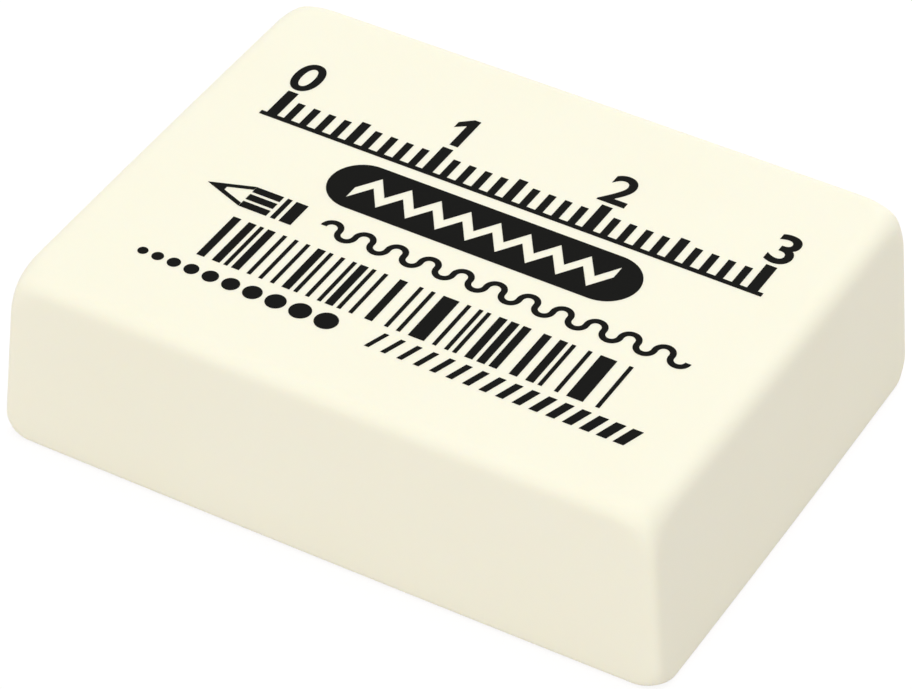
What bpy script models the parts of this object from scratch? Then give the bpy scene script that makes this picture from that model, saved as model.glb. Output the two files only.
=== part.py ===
"""A block eraser: one moulded piece of pale, soft rubber.

Metres, +Z up. The origin is the centre of the face that the block rests on, and X runs along its
length. The block is a box with blunted corners and rounded edges, which are softest around the top
and crispest around the base. Its long walls lean in a trace towards the top and its end walls more,
and all four swell a little midway along.
"""

import math

import bmesh
import bpy
from mathutils import Vector

# Driving sizes, in metres
LENGTH = 0.041  # along X, where the end walls rise from the round at their foot
WIDTH = 0.0302  # along Y, where the long walls do
HEIGHT = 0.0117
TOP_ROUND = 0.0013  # how far the round along a top edge reaches over each of its two faces
UPRIGHT_ROUND = 0.0013  # how far the round where two walls meet does
BASE_ROUND = 0.0005  # how far the round along a base edge does
CORNER_CUT = 0.0007  # how far below its sharp point each corner is blunted, before the rounding
WALL_BOW = 0.00008  # how far each wall stands out midway along, against its two ends
SIDE_LEAN = math.radians(0.3)  # how far each long wall leans in
END_LEAN = math.radians(5.5)  # how far each end wall leans in

# The shape of a round across its edge: 2 is a quarter circle, and more draws it closer to the edge
ROUND_POWER = 2.5  # around the top and the base
WALL_POWER = 4.2  # where two walls meet

# How finely the box is cut up before it is rounded
ROUND_CUTS = 6  # across one face's share of the widest round
CORNER_CUTS = 4  # from there on to where a corner's blunting ends
MIDDLE_CUTS = 4  # across the rest of each side, so that its bow is a curve
HALVINGS = 24  # of the stretch that the skin is looked for in

# The rubber's finish
IVORY = (0.91, 0.88, 0.73, 1.0)
ROUGHNESS = 0.62

# A corner's blunting ends where a point's three depths add up to the second of these, so a core
# that lies that deep below every face is clear of it.
WIDEST_ROUND = max(TOP_ROUND, UPRIGHT_ROUND, BASE_ROUND)
CORE_DEPTH = math.sqrt(3) * (WIDEST_ROUND + CORNER_CUT)


def clear_scene():
    for thing in list(bpy.data.objects):
        bpy.data.objects.remove(thing)


def cut_places(half):
    """Where the cuts cross one axis of a box that reaches from -half to half along it.

    They crowd towards the edge, where the skin bends most.
    """
    depths = [WIDEST_ROUND * (step / ROUND_CUTS) ** 1.6 for step in range(1, ROUND_CUTS + 1)]
    corner_step = (CORE_DEPTH - WIDEST_ROUND) / CORNER_CUTS
    depths += [WIDEST_ROUND + corner_step * step for step in range(1, CORNER_CUTS + 1)]
    outer = [half - depth for depth in depths]
    middle_step = 2 * outer[-1] / (MIDDLE_CUTS + 1)
    middle = [middle_step * step - outer[-1] for step in range(1, MIDDLE_CUTS + 1)]
    return [-place for place in outer] + middle + outer


def cut_box(half):
    """A box centred on the origin, with its faces cut into a grid that is finest near its edges."""
    grid = bmesh.new()
    bmesh.ops.create_cube(grid, size=2)
    bmesh.ops.scale(grid, vec=half, verts=grid.verts)
    for axis, side in enumerate(half):
        across = Vector((0, 0, 0))
        across[axis] = 1
        for place in cut_places(side):
            whole = grid.verts[:] + grid.edges[:] + grid.faces[:]
            bmesh.ops.bisect_plane(grid, geom=whole, dist=1e-7, plane_co=across * place, plane_no=across)
    return grid


def depth_below(depths, reach, power):
    """How deep a point lies below several faces whose shared edges are rounded.

    It lies at these depths below each face by itself. Each face that is nearer than the reach of
    the round pushes the skin in, and their pushes are put together.
    """
    pushes = [max(0.0, reach - depth) for depth in depths]
    together = sum(push**power for push in pushes) ** (1 / power)
    return reach - together if together else min(depths)


def skin_depth(point, half):
    """How deep a point lies inside the rounded block: zero on its skin, below zero outside it.

    The two walls are rounded into each other first. Then they, the top or the base, and the flat
    that blunts the corner are.
    """
    end, side, flat = [reach - abs(place) for reach, place in zip(half, point)]
    walls = depth_below([end, side], UPRIGHT_ROUND, WALL_POWER)
    corner = (end + side + flat) / math.sqrt(3) - CORNER_CUT
    flat_round = TOP_ROUND if point.z > 0 else BASE_ROUND
    return depth_below([walls, flat, corner], flat_round, ROUND_POWER)


def round_over(point, half):
    """Where the line from a point of the sharp box to the core below it meets the skin."""
    reach = [side - CORE_DEPTH for side in half]
    core = Vector([max(-far, min(far, place)) for far, place in zip(reach, point)])
    inside, outside = 0.0, 1.0
    for _ in range(HALVINGS):
        middle = (inside + outside) / 2
        if skin_depth(core.lerp(point, middle), half) < 0:
            outside = middle
        else:
            inside = middle
    return core.lerp(point, outside)


def lean_and_bow(point, half):
    """Leans the walls in towards the top, and draws each wall's two ends in behind its middle."""
    along, across = point.x / half.x, point.y / half.y
    risen = point.z - BASE_ROUND
    x = point.x - along * (math.tan(END_LEAN) * risen + WALL_BOW * across**2)
    y = point.y - across * (math.tan(SIDE_LEAN) * risen + WALL_BOW * along**2)
    return Vector((x, y, point.z))


def rubber():
    finish = bpy.data.materials.new("ivory_rubber")
    finish.use_nodes = True
    shader = finish.node_tree.nodes["Principled BSDF"]
    shader.inputs["Base Color"].default_value = IVORY
    shader.inputs["Roughness"].default_value = ROUGHNESS
    shader.inputs["Metallic"].default_value = 0.0
    return finish


def eraser_block():
    half = Vector((LENGTH, WIDTH, HEIGHT)) / 2
    grid = cut_box(half)
    for knot in grid.verts:
        rounded = round_over(knot.co, half)
        rounded.z += half.z
        knot.co = lean_and_bow(rounded, half)
    bmesh.ops.recalc_face_normals(grid, faces=grid.faces)
    mesh = bpy.data.meshes.new("eraser_block")
    grid.to_mesh(mesh)
    grid.free()
    mesh.shade_smooth()
    mesh.materials.append(rubber())
    block = bpy.data.objects.new("eraser_block", mesh)
    bpy.context.scene.collection.objects.link(block)


clear_scene()
eraser_block()
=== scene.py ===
"""A block eraser: ivory rubber, with a drawing chart printed in black on its top face.

It is put together as the real one is: the moulded block first, then the print, one motif after
another, and last the floor, the light and the camera. Metres, +Z up. The print is drawn in
millimetres, as it would be on the printer's plate.
"""

import math
import random

import bmesh
import bpy
import numpy as np
from mathutils import Matrix, Vector


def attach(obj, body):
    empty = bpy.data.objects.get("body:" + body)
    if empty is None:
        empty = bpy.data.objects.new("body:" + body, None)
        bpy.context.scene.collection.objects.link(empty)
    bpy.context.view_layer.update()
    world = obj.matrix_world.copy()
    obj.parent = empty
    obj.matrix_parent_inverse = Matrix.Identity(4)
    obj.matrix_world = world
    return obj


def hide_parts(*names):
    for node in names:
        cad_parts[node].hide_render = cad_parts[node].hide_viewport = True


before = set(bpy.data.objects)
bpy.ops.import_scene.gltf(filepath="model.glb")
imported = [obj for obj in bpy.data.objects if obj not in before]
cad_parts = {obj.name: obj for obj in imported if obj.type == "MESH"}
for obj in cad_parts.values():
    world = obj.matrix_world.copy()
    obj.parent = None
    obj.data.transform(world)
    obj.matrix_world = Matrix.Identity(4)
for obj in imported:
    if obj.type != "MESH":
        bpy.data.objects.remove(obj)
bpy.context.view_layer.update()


# The block: one moulded piece of soft vinyl rubber. Its edges are softest around the top and
# crispest around the base, its corners are blunted, and its end walls lean in. Its skin is matt
# with a fine grain, and light sinks a little way into it.

BLOCK_SIZE = np.array([0.041, 0.0302, 0.0117])  # where the walls rise from the round at their foot
HALF_SIZE = BLOCK_SIZE / 2
TOP_ROUND = 0.0013  # how far the round along a top edge reaches over each of its two faces
UPRIGHT_ROUND = 0.0013  # how far the round where two walls meet does
BASE_ROUND = 0.0005  # how far the round along a base edge does
CORNER_CUT = 0.0007  # how far below its sharp point each corner is blunted, before the rounding
WALL_BOW = 0.00008  # how far each wall stands out midway along, against its two ends
SIDE_LEAN = math.radians(0.3)  # how far each long wall leans in
END_LEAN = math.radians(5.5)  # how far each end wall leans in
ROUND_POWER = 2.5  # 2 would be a quarter circle, and more draws the round closer to the edge
WALL_POWER = 4.2  # the same where two walls meet
CORE_DEPTH = math.sqrt(3) * (TOP_ROUND + CORNER_CUT)  # deep enough to be clear of every round
BLOCK_CUTS = 84  # across each face
FLAT_SHARE = 0.3  # of those cuts, the ones on the flat of the face, which only its bow needs
CROWDING = 1.6  # how strongly the others crowd towards the edge, where the skin bends most
HALVINGS = 26  # of the stretch that the skin is looked for in

IVORY = (0.955, 0.925, 0.765)
WARM_IVORY = (0.94, 0.905, 0.73)
DRIFT_SIZE = 0.009  # of the patches in which the ivory is a little warmer
GRAIN_SIZE = 0.00016
DIMPLE_SIZE = 0.0016
RELIEF_DEPTH = 0.000012
GRAIN_SHARE = 0.35  # of that relief, the rest of which is the dimples
SKIN_ROUGHNESS = 0.5
GRAIN_ROUGHNESS = 0.16  # and this much more where the grain is strongest


def crowd(shares, edge):
    """Moves the even cuts across a face towards its two edges, where the rounds need them."""
    flat_reach = edge - CORE_DEPTH
    from_middle = np.abs(shares)
    on_flat = from_middle / FLAT_SHARE * flat_reach
    from_edge = (1 - np.maximum(from_middle, FLAT_SHARE)) / (1 - FLAT_SHARE)
    on_round = edge - CORE_DEPTH * from_edge**CROWDING
    return np.sign(shares) * np.where(from_middle < FLAT_SHARE, on_flat, on_round)


def depth_below(depths, reach, power):
    """How deep points lie below faces whose shared edges are rounded, from their depth below each.

    Each face that is nearer than the reach of the round pushes the skin in.
    """
    pushes = np.maximum(0, reach - depths)
    together = (pushes**power).sum(axis=1, keepdims=True) ** (1 / power)
    return np.where(together > 0, reach - together, depths.min(axis=1, keepdims=True))


def skin_depth(points):
    """How deep each point lies inside the block, whose walls are rounded into each other first."""
    depths = HALF_SIZE - np.abs(points)
    walls = depth_below(depths[:, :2], UPRIGHT_ROUND, WALL_POWER)
    corner = depths.sum(axis=1, keepdims=True) / math.sqrt(3) - CORNER_CUT
    flat_round = np.where(points[:, 2:] > 0, TOP_ROUND, BASE_ROUND)
    return depth_below(np.hstack([walls, depths[:, 2:], corner]), flat_round, ROUND_POWER)


def rounded(points):
    """Pulls each point of the sharp box back to the skin, towards a core that is clear of it."""
    core = np.clip(points, CORE_DEPTH - HALF_SIZE, HALF_SIZE - CORE_DEPTH)
    inside = np.zeros((len(points), 1))
    outside = np.ones((len(points), 1))
    for _ in range(HALVINGS):
        middle = (inside + outside) / 2
        is_out = skin_depth(core + (points - core) * middle) < 0
        outside = np.where(is_out, middle, outside)
        inside = np.where(is_out, inside, middle)
    return core + (points - core) * outside


def leaned(points):
    """Leans the walls in towards the top, and draws each wall's two ends in behind its middle."""
    along, across = points[:, 0] / HALF_SIZE[0], points[:, 1] / HALF_SIZE[1]
    risen = points[:, 2] - BASE_ROUND
    x = points[:, 0] - along * (math.tan(END_LEAN) * risen + WALL_BOW * across**2)
    y = points[:, 1] - across * (math.tan(SIDE_LEAN) * risen + WALL_BOW * along**2)
    return np.column_stack([x, y, points[:, 2]])


def finished(name, shell):
    """Turns what was modelled into a mesh of this name, with its faces looking outwards."""
    bmesh.ops.recalc_face_normals(shell, faces=shell.faces[:])
    mesh = bpy.data.meshes.new(name)
    shell.to_mesh(mesh)
    shell.free()
    return mesh


def placed(name, mesh, material):
    """Puts a mesh into the scene as an object, in this material."""
    mesh.materials.append(material)
    piece = bpy.data.objects.new(name, mesh)
    bpy.context.scene.collection.objects.link(piece)
    return piece


def block_mesh():
    """A box whose faces are cut into a grid, which is then rounded, leaned and bowed."""
    shell = bmesh.new()
    bmesh.ops.create_cube(shell, size=2)
    bmesh.ops.subdivide_edges(shell, edges=shell.edges[:], cuts=BLOCK_CUTS, use_grid_fill=True)
    shares = np.array([knot.co for knot in shell.verts])
    sharp = np.column_stack([crowd(shares[:, axis], HALF_SIZE[axis]) for axis in range(3)])
    skin = rounded(sharp)
    skin[:, 2] += HALF_SIZE[2]
    for knot, place in zip(shell.verts, leaned(skin)):
        knot.co = place
    mesh = finished("rubber_block", shell)
    mesh.shade_smooth()
    return mesh


class Wire:
    """An output of a shader node, with which sums are written as Python expressions."""

    def __init__(self, socket):
        self.socket = socket

    @classmethod
    def node(cls, tree, kind, settings, sockets, output=0):
        """Adds a node: its settings come first, and then what its sockets hold or are fed."""
        node = tree.nodes.new(kind)
        for name, setting in settings.items():
            setattr(node, name, setting)
        for name, held in sockets.items():
            if isinstance(held, cls):
                tree.links.new(held.socket, node.inputs[name])
            else:
                node.inputs[name].default_value = held
        return cls(node.outputs[output]) if node.outputs else None

    def math(self, operation, first, second):
        tree = self.socket.id_data
        return self.node(tree, "ShaderNodeMath", {"operation": operation}, {0: first, 1: second})

    def __add__(self, other):
        return self.math("ADD", self, other)

    def __mul__(self, other):
        return self.math("MULTIPLY", self, other)

    __radd__ = __add__
    __rmul__ = __mul__


def new_material(name):
    material = bpy.data.materials.new(name)
    material.use_nodes = True
    material.node_tree.nodes.clear()
    return material


def clouds(tree, size, detail):
    """Soft noise from 0 to 1, in patches of about this size."""
    place = Wire.node(tree, "ShaderNodeTexCoord", {}, {}, "Object")
    sockets = {"Vector": place, "Scale": 1 / size, "Detail": detail}
    return Wire.node(tree, "ShaderNodeTexNoise", {}, sockets)


def between(tree, share, first, second):
    """One colour turning into another as the share goes from 0 to 1."""
    first_colour, second_colour, mixed_colour = 6, 7, 2  # the Mix node's sockets for colours
    sockets = {"Factor": share, first_colour: (*first, 1), second_colour: (*second, 1)}
    return Wire.node(tree, "ShaderNodeMix", {"data_type": "RGBA"}, sockets, mixed_colour)


def show(tree, shader):
    Wire.node(tree, "ShaderNodeOutputMaterial", {}, {"Surface": shader})


def ivory_rubber():
    material = new_material("ivory_rubber")
    tree = material.node_tree
    drift = clouds(tree, DRIFT_SIZE, detail=2)
    grain = clouds(tree, GRAIN_SIZE, detail=3)
    dimples = clouds(tree, DIMPLE_SIZE, detail=1)
    height = GRAIN_SHARE * grain + (1 - GRAIN_SHARE) * dimples
    relief = {"Strength": 1.0, "Distance": RELIEF_DEPTH, "Height": height}
    sockets = {
        "Base Color": between(tree, drift, IVORY, WARM_IVORY),
        "Roughness": SKIN_ROUGHNESS + GRAIN_ROUGHNESS * grain,
        "Specular IOR Level": 0.4,
        "Subsurface Weight": 0.2,
        "Subsurface Radius": (1.0, 0.8, 0.5),
        "Subsurface Scale": 0.0006,
        "Normal": Wire.node(tree, "ShaderNodeBump", {}, relief),
    }
    show(tree, Wire.node(tree, "ShaderNodeBsdfPrincipled", {}, sockets))
    return material


block = placed("rubber_block", block_mesh(), ivory_rubber())
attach(block, "root")
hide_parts("eraser_block")


# The scale: a rule across the back of the top face, with 30 mm of ticks standing on it and plain
# numerals over the centimetres. Like all the print, it is a film of matt black ink that a soft pad
# has pressed onto the rubber, a shade askew.

MM = 0.001
INK_PROUD = 0.015  # how far the ink stands above the rubber
INK_SUNK = 0.005  # and how far it has soaked in
PRINT_TURN = math.radians(-0.35)  # the whole print, against the block
WELD_REACH = 0.001  # points of the print that lie nearer to each other than this become one

BLACK = (0.005, 0.005, 0.0042)
WORN_BLACK = (0.0075, 0.0075, 0.0066)
WEAR_SIZE = 0.0011  # of the patches in which the ink is worn
INK_RELIEF_DEPTH = 0.000004
INK_ROUGHNESS = 0.55
WEAR_ROUGHNESS = 0.2  # and this much more where it is most worn

RULE_LEFT, RULE_RIGHT = -15.28, 16.04
RULE_LINE = 3.93
RULE_THICKNESS = 0.32
TICK_HEIGHTS = {10: 2.3, 5: 1.95, 1: 1.6}  # at every tenth, every fifth and each other tick
TICK_WIDTHS = {10: 0.66, 5: 0.56, 1: 0.46}
SCALE_LENGTH = 30
NUMERAL_SIZE = 3.6  # of the type, whose numerals are about 0.7 of it tall
NUMERAL_GAP = 0.35  # above a centimetre's tick
NUMERAL_SWELL = 0.065  # makes the numerals bolder

# The outline of a 1 that has no foot, from the point where it stands
ONE = ((-0.12, 0), (0.4, 0), (0.4, 2.64), (0, 2.64), (-0.7, 2.04), (-0.7, 1.52), (-0.12, 1.95))


def black_print():
    material = new_material("black_print")
    tree = material.node_tree
    wear = clouds(tree, WEAR_SIZE, detail=4)
    grain = clouds(tree, GRAIN_SIZE, detail=3)
    relief = {"Strength": 1.0, "Distance": INK_RELIEF_DEPTH, "Height": grain}
    sockets = {
        "Base Color": between(tree, wear, BLACK, WORN_BLACK),
        "Roughness": INK_ROUGHNESS + WEAR_ROUGHNESS * wear,
        "Specular IOR Level": 0.05,
        "Normal": Wire.node(tree, "ShaderNodeBump", {}, relief),
    }
    show(tree, Wire.node(tree, "ShaderNodeBsdfPrincipled", {}, sockets))
    return material


ink = black_print()


def filled(curve):
    """The closed solid of a flat curve, which is extruded to the thickness of the ink."""
    curve.extrude = (INK_PROUD + INK_SUNK) / 2
    holder = bpy.data.objects.new("holder", curve)
    mesh = bpy.data.meshes.new_from_object(holder)
    bpy.data.objects.remove(holder)
    bpy.data.curves.remove(curve)
    return mesh


def plate(outlines):
    """A solid with these closed outlines. One that lies inside another is a hole in it."""
    curve = bpy.data.curves.new("plate", "CURVE")
    curve.dimensions = "2D"
    curve.fill_mode = "BOTH"
    for outline in outlines:
        spline = curve.splines.new("POLY")
        spline.points.add(len(outline) - 1)
        for point, (x, y) in zip(spline.points, outline):
            point.co = (x, y, 0, 1)
        spline.use_cyclic_u = True
    return filled(curve)


def numeral(digit, x, y):
    """A numeral that stands on a line, centred on x. The font's own 1 looks like one more tick."""
    if digit == "1":
        return plate([[(x + across, y + up) for across, up in ONE]])
    curve = bpy.data.curves.new("numeral", "FONT")
    curve.body = digit
    curve.size = NUMERAL_SIZE
    curve.offset = NUMERAL_SWELL
    curve.align_x = "CENTER"
    mesh = filled(curve)
    mesh.transform(Matrix.Translation((x, y, 0)))
    return mesh


def press(name, meshes):
    """Presses a motif onto the top face, as one piece made of these meshes."""
    film = bmesh.new()
    for mesh in meshes:
        film.from_mesh(mesh)
    bmesh.ops.remove_doubles(film, verts=film.verts[:], dist=WELD_REACH)
    print_mesh = finished(name, film)
    height = BLOCK_SIZE[2] + (INK_PROUD - INK_SUNK) / 2 * MM
    turned = Matrix.Rotation(PRINT_TURN, 4, "Z") @ Matrix.Scale(MM, 4)
    print_mesh.transform(Matrix.Translation((0, 0, height)) @ turned)
    piece = placed(name, print_mesh, ink)
    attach(piece, "root")


def scale():
    """The rule and its ticks, as one comb, and the numerals."""
    top = RULE_LINE + RULE_THICKNESS / 2
    bottom = RULE_LINE - RULE_THICKNESS / 2
    zero = (RULE_LEFT + RULE_RIGHT - SCALE_LENGTH) / 2
    comb = [(RULE_LEFT, bottom), (RULE_RIGHT, bottom), (RULE_RIGHT, top)]
    for place in reversed(range(SCALE_LENGTH + 1)):
        unit = 10 if place % 10 == 0 else 5 if place % 5 == 0 else 1
        left = zero + place - TICK_WIDTHS[unit] / 2
        right = zero + place + TICK_WIDTHS[unit] / 2
        tip = top + TICK_HEIGHTS[unit]
        comb += [(right, top), (right, tip), (left, tip), (left, top)]
    comb.append((RULE_LEFT, top))
    foot = top + TICK_HEIGHTS[10] + NUMERAL_GAP
    numerals = [numeral(str(cm), zero + 10 * cm, foot) for cm in range(SCALE_LENGTH // 10 + 1)]
    return [plate([comb]), *numerals]


press("print_scale", scale())


# The label: a black pill across the middle of the print, and its heaviest patch of ink. A zigzag
# is left bare in it, so that the rubber shows through.

LABEL_MIDDLE = (0.67, 0.97)
LABEL_SIZE = (19.1, 4.02)
ZIGZAG_STROKES = 17
ZIGZAG_RUN, ZIGZAG_RISE = 0.93, 1.4  # of each stroke
ZIGZAG_WEIGHT = 0.54
CURVE_STEPS = 48  # in a full circle


def arc(middle, radius, start, end):
    """Points along an arc, from one angle to the other, in degrees."""
    steps = max(2, round(abs(end - start) / 360 * CURVE_STEPS))
    angles = [math.radians(start + (end - start) * step / steps) for step in range(steps + 1)]
    return [(middle[0] + radius * math.cos(a), middle[1] + radius * math.sin(a)) for a in angles]


def label():
    x, y = LABEL_MIDDLE
    length, height = LABEL_SIZE
    reach = (length - height) / 2
    pill = arc((x + reach, y), height / 2, -90, 90) + arc((x - reach, y), height / 2, 90, 270)
    start = x - ZIGZAG_STROKES * ZIGZAG_RUN / 2
    steps = range(ZIGZAG_STROKES + 1)
    corners = [(start + ZIGZAG_RUN * step, y + ZIGZAG_RISE * (step % 2 - 0.5)) for step in steps]
    lift = ZIGZAG_WEIGHT / 2 * math.hypot(1, ZIGZAG_RISE / ZIGZAG_RUN)
    upper = [(px, py + lift) for px, py in corners]
    lower = [(px, py - lift) for px, py in reversed(corners)]
    return [plate([pill, upper + lower])]


press("print_label", label())


# The pencil: a small figure of a sharpened pencil that lies on its side, which says what the
# eraser is for. Its cone is drawn in outline, its body in three stripes, and the rest is solid.

PENCIL_TIP = (-14.39, -2.93)
PENCIL_END = -8.53
PENCIL_THICKNESS = 1.9
LEAD_LENGTH = 1.15
CONE_LENGTH = 2.55
CONE_WALL = 0.27
STRIPE_THICKNESS = 0.5
STRIPE_GAP = 0.02  # between the cone and the stripes, so that they are separate solids
FERRULE_LENGTH = 0.3
FERRULE_GAP = 0.25  # on both sides of it
CAP_LENGTH = 0.75


def box(left, bottom, right, top):
    return [(left, bottom), (right, bottom), (right, top), (left, top)]


def pencil():
    tip_x, middle = PENCIL_TIP
    slope = PENCIL_THICKNESS / 2 / CONE_LENGTH
    shoulder = tip_x + CONE_LENGTH
    lead_end = tip_x + LEAD_LENGTH
    wall = CONE_WALL * math.hypot(1, slope)
    outer = PENCIL_THICKNESS / 2
    inner = LEAD_LENGTH * slope - wall
    cone = [(tip_x, middle), (shoulder, middle - outer), (shoulder, middle - outer + wall)]
    cone += [(lead_end, middle - inner), (lead_end, middle + inner)]
    cone += [(shoulder, middle + outer - wall), (shoulder, middle + outer)]
    cap_start = PENCIL_END - CAP_LENGTH
    ferrule_end = cap_start - FERRULE_GAP
    body_end = ferrule_end - FERRULE_LENGTH - FERRULE_GAP
    pitch = (PENCIL_THICKNESS - STRIPE_THICKNESS) / 2
    outlines = [cone]
    for row in (-1, 0, 1):
        bottom = middle + row * pitch - STRIPE_THICKNESS / 2
        outlines.append(box(shoulder + STRIPE_GAP, bottom, body_end, bottom + STRIPE_THICKNESS))
    outlines.append(box(body_end + FERRULE_GAP, middle - outer, ferrule_end, middle + outer))
    outlines.append(box(cap_start, middle - outer, PENCIL_END, middle + outer))
    return [plate(outlines)]


press("print_pencil", pencil())


# The wave: a line beside the pencil, as if it had been drawn with it. Its bends are half circles,
# which short straight legs join.

WAVE_LEFT, WAVE_RIGHT = -6.98, 15.3
WAVE_LINE = -3.02
WAVE_COUNT = 11
WAVE_WEIGHT = 0.36
WAVE_LEG = 0.12  # the straight stretch between one bend and the next


def wave():
    bend_radius = (WAVE_RIGHT - WAVE_LEFT) / WAVE_COUNT / 4  # each wave is two half circles
    upper, lower = [], []
    for bend in range(2 * WAVE_COUNT):
        side = -1 if bend % 2 else 1
        middle = (WAVE_LEFT + bend_radius * (2 * bend + 1), WAVE_LINE + side * WAVE_LEG / 2)
        upper += arc(middle, bend_radius + side * WAVE_WEIGHT / 2, 180, 180 - side * 180)
        lower += arc(middle, bend_radius - side * WAVE_WEIGHT / 2, 180, 180 - side * 180)
    return [plate([upper + lower[::-1]])]


press("print_wave", wave())


# The bars: a field of upright stripes, below the pencil and the wave. The stripes and the gaps
# between them are one to four thin stripes wide, in no order that says anything.

BARS_LEFT, BARS_RIGHT = -11.54, 13.0
BARS_TOP, BARS_BOTTOM = -4.81, -8.58
BAR_COUNT = 30
BAR_WIDTHS = (1, 1, 1, 2, 2, 4)  # the widths that a stripe may have, the commoner ones repeated
GAP_WIDTHS = (1, 1, 2, 2, 2, 3)
BAR_SEED = 34  # of the random draw of widths


def bars():
    draw = random.Random(BAR_SEED)
    choices = ([BAR_WIDTHS, GAP_WIDTHS] * BAR_COUNT)[:-1]
    widths = [draw.choice(choice) for choice in choices]
    unit = (BARS_RIGHT - BARS_LEFT) / sum(widths)
    outlines = []
    left = BARS_LEFT
    for place, width in enumerate(widths):
        if place % 2 == 0:
            outlines.append(box(left, BARS_BOTTOM, left + width * unit, BARS_TOP))
        left += width * unit
    return [plate(outlines)]


press("print_bars", bars())


# The dots and the strokes: two short rows along the front of the print. The dots grow from a
# speck to a spot, and the slanted strokes from fine to bold.

ROW_LINE = -9.79
ROW_HEIGHT = 1.4
DOTS_LEFT = -14.45
DOT_GAP = 0.3
DOT_COUNT = 10
DOT_SIZES = (0.6, 1.35)  # the first and the last
STROKES_LEFT, STROKES_RIGHT = 0.04, 15.88
STROKE_COUNT = 16
STROKE_WEIGHTS = (0.28, 0.62)  # the first and the last
STROKE_LEAN = 0.45  # how far a stroke's top lies ahead of its foot


def grown(sizes, step, count):
    """The size at one step of a row that grows evenly from the first size to the last."""
    return sizes[0] + (sizes[1] - sizes[0]) * step / (count - 1)


def dots():
    outlines = []
    left = DOTS_LEFT
    for step in range(DOT_COUNT):
        size = grown(DOT_SIZES, step, DOT_COUNT)
        ring = arc((left + size / 2, ROW_LINE), size / 2, 0, 360)
        outlines.append(ring[:-1])  # its last point is its first one again
        left += size + DOT_GAP
    return [plate(outlines)]


def strokes():
    foot, tip = ROW_LINE - ROW_HEIGHT / 2, ROW_LINE + ROW_HEIGHT / 2
    pitch = (STROKES_RIGHT - STROKES_LEFT - STROKE_LEAN - STROKE_WEIGHTS[1]) / (STROKE_COUNT - 1)
    outlines = []
    for step in range(STROKE_COUNT):
        left = STROKES_LEFT + pitch * step
        right = left + grown(STROKE_WEIGHTS, step, STROKE_COUNT)
        ahead = STROKE_LEAN
        outlines.append([(left, foot), (right, foot), (right + ahead, tip), (left + ahead, tip)])
    return [plate(outlines)]


press("print_dots", dots())
press("print_strokes", strokes())


# The floor: a plain pale tabletop, wide enough to fill the view. It is seen as near white, and
# keeps the soft shadow of the block.

FLOOR_SIZE = 6.0
TABLETOP = (0.73, 0.7, 0.71)
FLOOR_SHINE = 0.75  # the share of what the camera sees of the floor that is plain white
SHINE_STRENGTH = 1.12  # of that white: over 1, to make up for the grey of the tabletop


def pale_floor():
    material = new_material("pale_floor")
    tree = material.node_tree
    matt = Wire.node(tree, "ShaderNodeBsdfDiffuse", {}, {"Color": (*TABLETOP, 1)})
    glow = {"Color": (1, 1, 1, 1), "Strength": SHINE_STRENGTH}
    white = Wire.node(tree, "ShaderNodeEmission", {}, glow)
    seen = Wire.node(tree, "ShaderNodeLightPath", {}, {}, "Is Camera Ray")
    sockets = {"Fac": FLOOR_SHINE * seen, 1: matt, 2: white}
    show(tree, Wire.node(tree, "ShaderNodeMixShader", {}, sockets))
    return material


def floor():
    sheet = bmesh.new()
    bmesh.ops.create_grid(sheet, x_segments=1, y_segments=1, size=FLOOR_SIZE / 2)
    piece = placed("floor", finished("floor", sheet), pale_floor())


floor()


# The light: an even white dome, with three broad soft lamps. One is overhead, and a low one at
# the front and another at the back make the long walls paler than the end walls.

DOME_STRENGTH = 0.69
LAMP_SPREAD = math.radians(40)

# Each points at its lamp, and is as long as what that lamp adds on a white face
LAMP_REACHES = ((0, 0, 0.267), (0, -0.19, 0.047), (0, 0.19, 0.047))


def dome():
    """Lights the block from all round. The camera itself sees it as plain white."""
    world = bpy.data.worlds.new("dome")
    world.use_nodes = True
    tree = world.node_tree
    tree.nodes.clear()
    seen = Wire.node(tree, "ShaderNodeLightPath", {}, {}, "Is Camera Ray")
    strength = DOME_STRENGTH + (1 - DOME_STRENGTH) * seen
    sockets = {"Color": (1, 1, 1, 1), "Strength": strength}
    sky = Wire.node(tree, "ShaderNodeBackground", {}, sockets)
    Wire.node(tree, "ShaderNodeOutputWorld", {}, {"Surface": sky})
    bpy.context.scene.world = world


def lamp(reach):
    light = bpy.data.lights.new("lamp", "SUN")
    light.energy = reach.length * math.pi  # a sun of pi lights white to 1
    light.angle = LAMP_SPREAD
    holder = bpy.data.objects.new("lamp", light)
    holder.rotation_euler = reach.to_track_quat("Z", "Y").to_euler()
    bpy.context.scene.collection.objects.link(holder)


dome()
for reach in LAMP_REACHES:
    lamp(Vector(reach))
bpy.context.scene.view_settings.view_transform = "Standard"


# The camera: it looks down at the block over its front right corner, through a long lens and from
# six of the block's lengths away.

CAMERA_TURN = math.radians(28.88)
CAMERA_RISE = math.radians(40.04)
CAMERA_ROLL = math.radians(1.11)
CAMERA_LENS = 174.9
CAMERA_DISTANCE = 0.246
CAMERA_AIM = (-0.00021, 0.0032)  # across and up from the centre of the base


def camera():
    view = bpy.data.cameras.new("camera")
    view.lens = CAMERA_LENS
    view.sensor_width = 36
    view.clip_start = 0.01
    holder = bpy.data.objects.new("camera", view)
    turn = Matrix.Rotation(CAMERA_TURN, 4, "Z") @ Matrix.Rotation(math.pi / 2 - CAMERA_RISE, 4, "X")
    turn = turn @ Matrix.Rotation(CAMERA_ROLL, 4, "Z")
    holder.matrix_world = turn @ Matrix.Translation((*CAMERA_AIM, CAMERA_DISTANCE))
    bpy.context.scene.collection.objects.link(holder)
    bpy.context.scene.camera = holder


camera()
